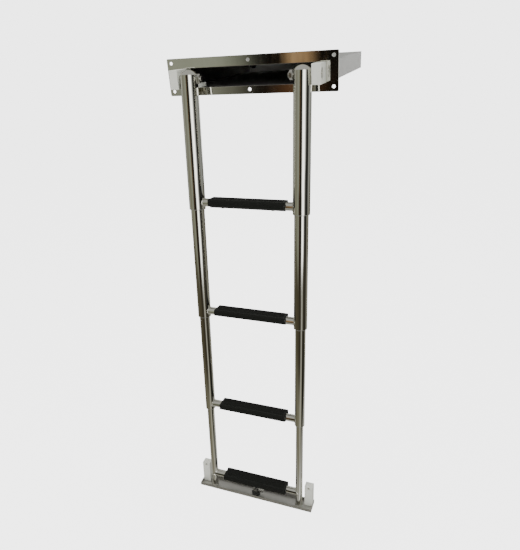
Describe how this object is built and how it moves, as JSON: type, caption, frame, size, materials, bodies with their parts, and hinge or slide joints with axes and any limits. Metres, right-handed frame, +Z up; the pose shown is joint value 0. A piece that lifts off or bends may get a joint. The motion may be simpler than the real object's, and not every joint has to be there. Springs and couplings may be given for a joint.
{
  "type": "boat boarding ladder",
  "caption": "Telescopic boarding ladder that hangs from a flush-mounted stainless cassette, with black treads, nylon slide blocks and a closing lid at its foot.",
  "frame": {"origin": "middle of the flange's back face, the face that seats on the boat", "axes": "+X to the right of a person who faces the boat, +Y into the boat, +Z up"},
  "size_m": [0.382, 0.6443, 1.1324],
  "materials": {
    "mirror_steel": "mirror-polished stainless steel",
    "satin_steel": "satin stainless sheet",
    "lid_steel": "polished stainless sheet, lightly scuffed",
    "fastener_steel": "plain stainless steel",
    "white_nylon": "natural nylon, moulded",
    "grey_nylon": "grey nylon, moulded",
    "black_tread": "black moulded plastic, ribbed and fine grained",
    "black_nylon": "black nylon, moulded",
    "black_rubber": "black rubber, matt"
  },
  "bodies": {
    "cassette": {"flange": "mirror_steel", "box_tray": "satin_steel", "box_cover": "satin_steel", "rear_plate": "satin_steel", "rear_buffers": "black_rubber", "buffer_screws": "fastener_steel"},
    "carriage": {"slide_block_left": "white_nylon", "slide_block_right": "white_nylon", "pivot_bolts": "fastener_steel", "spacer_washers": "white_nylon", "nut_washers": "fastener_steel", "pivot_nuts": "fastener_steel"},
    "section_1": {"rail_1_left": "mirror_steel", "rail_1_right": "mirror_steel", "rail_caps": "mirror_steel", "pivot_sleeves": "fastener_steel", "guide_bushes_1": "grey_nylon", "rung_1": "mirror_steel", "tread_1": "black_tread", "tread_screws_1": "fastener_steel"},
    "section_2": {"rail_2_left": "mirror_steel", "rail_2_right": "mirror_steel", "slider_rings_2": "grey_nylon", "guide_bushes_2": "grey_nylon", "rung_2": "mirror_steel", "tread_2": "black_tread", "tread_screws_2": "fastener_steel"},
    "section_3": {"rail_3_left": "mirror_steel", "rail_3_right": "mirror_steel", "slider_rings_3": "grey_nylon", "guide_bushes_3": "grey_nylon", "rung_3": "mirror_steel", "tread_3": "black_tread", "tread_screws_3": "fastener_steel"},
    "section_4": {"rail_4_left": "mirror_steel", "rail_4_right": "mirror_steel", "slider_rings_4": "grey_nylon", "rung_4": "mirror_steel", "tread_4": "black_tread", "tread_screws_4": "fastener_steel", "lid_plate": "lid_steel", "lid_guide_left": "white_nylon", "lid_guide_right": "white_nylon", "lid_guide_screws": "fastener_steel", "latch_barrel": "black_nylon", "latch_ring_nut": "black_nylon"},
    "latch": {"latch_knob": "black_nylon", "latch_cam": "fastener_steel", "latch_nut": "fastener_steel"}
  },
  "joints": [
    {"name": "carriage_slide", "type": "slide", "parent": "cassette", "child": "carriage", "axis": [0, 1, 0], "range_m": [0, 0.014]},
    {"name": "ladder_swing", "type": "hinge", "parent": "carriage", "child": "section_1", "pos_m": [0, -0.033, -0.002], "axis": [-1, 0, 0], "range_deg": [0, 83]},
    {"name": "section_2_slide", "type": "slide", "parent": "section_1", "child": "section_2", "axis": [0, 0.1219, 0.9925], "range_m": [0, 0.243]},
    {"name": "section_3_slide", "type": "slide", "parent": "section_2", "child": "section_3", "axis": [0, 0.1219, 0.9925], "range_m": [0, 0.243]},
    {"name": "section_4_slide", "type": "slide", "parent": "section_3", "child": "section_4", "axis": [0, 0.1219, 0.9925], "range_m": [0, 0.205]},
    {"name": "latch_turn", "type": "hinge", "parent": "section_4", "child": "latch", "pos_m": [0, -0.16568, -1.08258], "axis": [0, -0.1219, -0.9925], "range_deg": [0, 90]}
  ]
}
